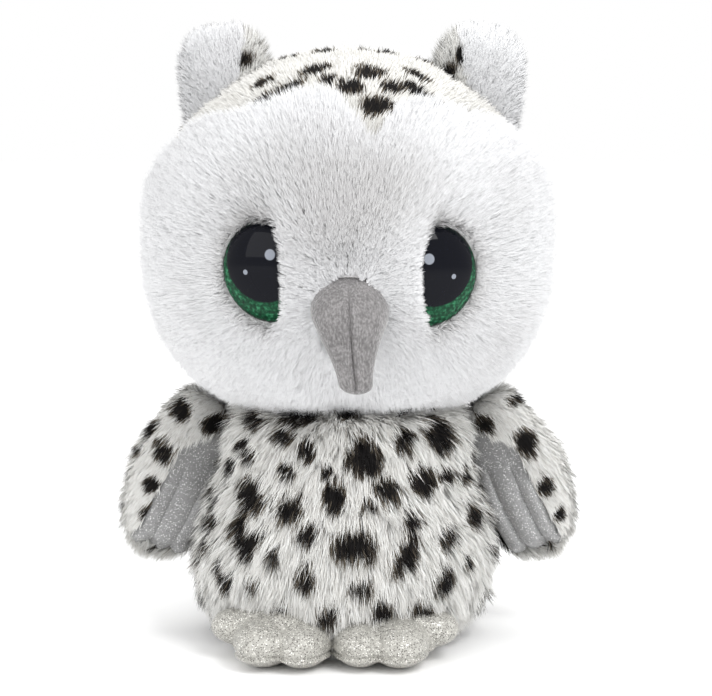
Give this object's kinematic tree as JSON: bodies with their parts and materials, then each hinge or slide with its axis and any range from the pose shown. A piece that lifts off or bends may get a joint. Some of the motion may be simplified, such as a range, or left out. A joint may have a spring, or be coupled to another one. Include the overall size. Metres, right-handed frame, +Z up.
{
  "type": "interactive plush pet",
  "caption": "Sitting plush owl with a turning head, lifting wings, a press button behind the belly and a battery box in its base.",
  "frame": {"origin": "on the ground, in the middle of the owl's box", "axes": "+Z up; the owl faces -Y, and its own left is +X"},
  "size_m": [0.1836, 0.1514, 0.2524],
  "materials": {
    "white_plush": "long soft pile",
    "spotted_plush": "long pile, off-white with dark brown spots",
    "sparkle_fabric": "silver-grey knit with fine sparkle",
    "glitter_fabric": "champagne glitter fabric",
    "velour": "short grey velour",
    "fibre_filling": "polyester filling",
    "base_cloth": "plain knitted cloth",
    "eye_gloss": "polished dome",
    "iris": "green glitter print",
    "grey_plastic": "moulded",
    "white_plastic": "moulded acetal",
    "dark_plastic": "moulded",
    "circuit_green": "solder mask",
    "cell_wrap": "plain wrap",
    "steel": "bright"
  },
  "bodies": {
    "torso": {"body_skin": "spotted_plush", "body_stuffing": "fibre_filling", "base_panel": "base_cloth", "housing_front": "grey_plastic", "housing_back": "grey_plastic", "housing_screw_1": "steel", "housing_screw_2": "steel", "housing_screw_3": "steel", "housing_screw_4": "steel", "neck_bush": "white_plastic", "gear_plate": "grey_plastic", "idler_axle": "steel", "motor": "steel", "circuit_board": "circuit_green", "control_chip": "dark_plastic", "tact_switch": "dark_plastic", "microphone": "steel", "speaker": "dark_plastic", "battery_box": "grey_plastic", "battery_1": "cell_wrap", "battery_2": "cell_wrap", "battery_3": "cell_wrap", "contact_left": "steel", "contact_right": "steel", "slide_switch_body": "dark_plastic", "foot_left_upper": "glitter_fabric", "foot_left_sole": "glitter_fabric", "foot_right_upper": "glitter_fabric", "foot_right_sole": "glitter_fabric"},
    "head": {"face_panel": "white_plush", "head_back_panel": "spotted_plush", "head_stuffing": "fibre_filling", "beak": "velour", "ear_left": "white_plush", "ear_right": "white_plush", "eye_dome_left": "eye_gloss", "eye_dome_right": "eye_gloss", "eye_back_left": "iris", "eye_back_right": "iris", "eye_washer_left": "white_plastic", "eye_washer_right": "white_plastic", "head_carrier": "grey_plastic", "head_shaft": "steel", "carrier_pin": "steel", "head_gear": "white_plastic"},
    "idler": {"idler_gear": "white_plastic"},
    "pinion": {"motor_pinion": "white_plastic", "motor_shaft": "steel"},
    "wing_left": {"wing_left_back": "spotted_plush", "wing_left_lining": "sparkle_fabric"},
    "wing_right": {"wing_right_back": "spotted_plush", "wing_right_lining": "sparkle_fabric"},
    "press_button": {"belly_button": "dark_plastic"},
    "power_knob": {"slide_knob": "dark_plastic"},
    "door": {"battery_door": "grey_plastic", "door_screw": "steel"}
  },
  "joints": [
    {"name": "head_turn", "type": "hinge", "parent": "torso", "child": "head", "pos_m": [0, 0.00769, 0.1], "axis": [0, 0, 1], "range_deg": [-35, 35]},
    {"name": "idler_spin", "type": "hinge", "parent": "torso", "child": "idler", "pos_m": [0.02, 0.00769, 0.067], "axis": [0, 0, 1], "range_deg": [-106, 106]},
    {"name": "pinion_spin", "type": "hinge", "parent": "torso", "child": "pinion", "pos_m": [0.01125, 0.02284, 0.064], "axis": [0, 0, 1], "range_deg": [-264, 264]},
    {"name": "wing_left_lift", "type": "hinge", "parent": "torso", "child": "wing_left", "pos_m": [0.052, 0.01169, 0.098], "axis": [0, -1, 0], "range_deg": [0, 45]},
    {"name": "wing_right_lift", "type": "hinge", "parent": "torso", "child": "wing_right", "pos_m": [-0.052, 0.01169, 0.098], "axis": [0, 1, 0], "range_deg": [0, 45]},
    {"name": "belly_press", "type": "slide", "parent": "torso", "child": "press_button", "axis": [0, 1, 0], "range_m": [0, 0.0025], "stiffness_N_per_m": 400},
    {"name": "power_slide", "type": "slide", "parent": "torso", "child": "power_knob", "axis": [1, 0, 0], "range_m": [0, 0.004]},
    {"name": "door_release", "type": "slide", "parent": "torso", "child": "door", "axis": [0, 0, -1], "range_m": [0, 0.015]}
  ],
  "couplings": [
    {"joint": "idler_spin", "follows": "head_turn", "ratio": -3},
    {"joint": "pinion_spin", "follows": "head_turn", "ratio": 7.5}
  ]
}
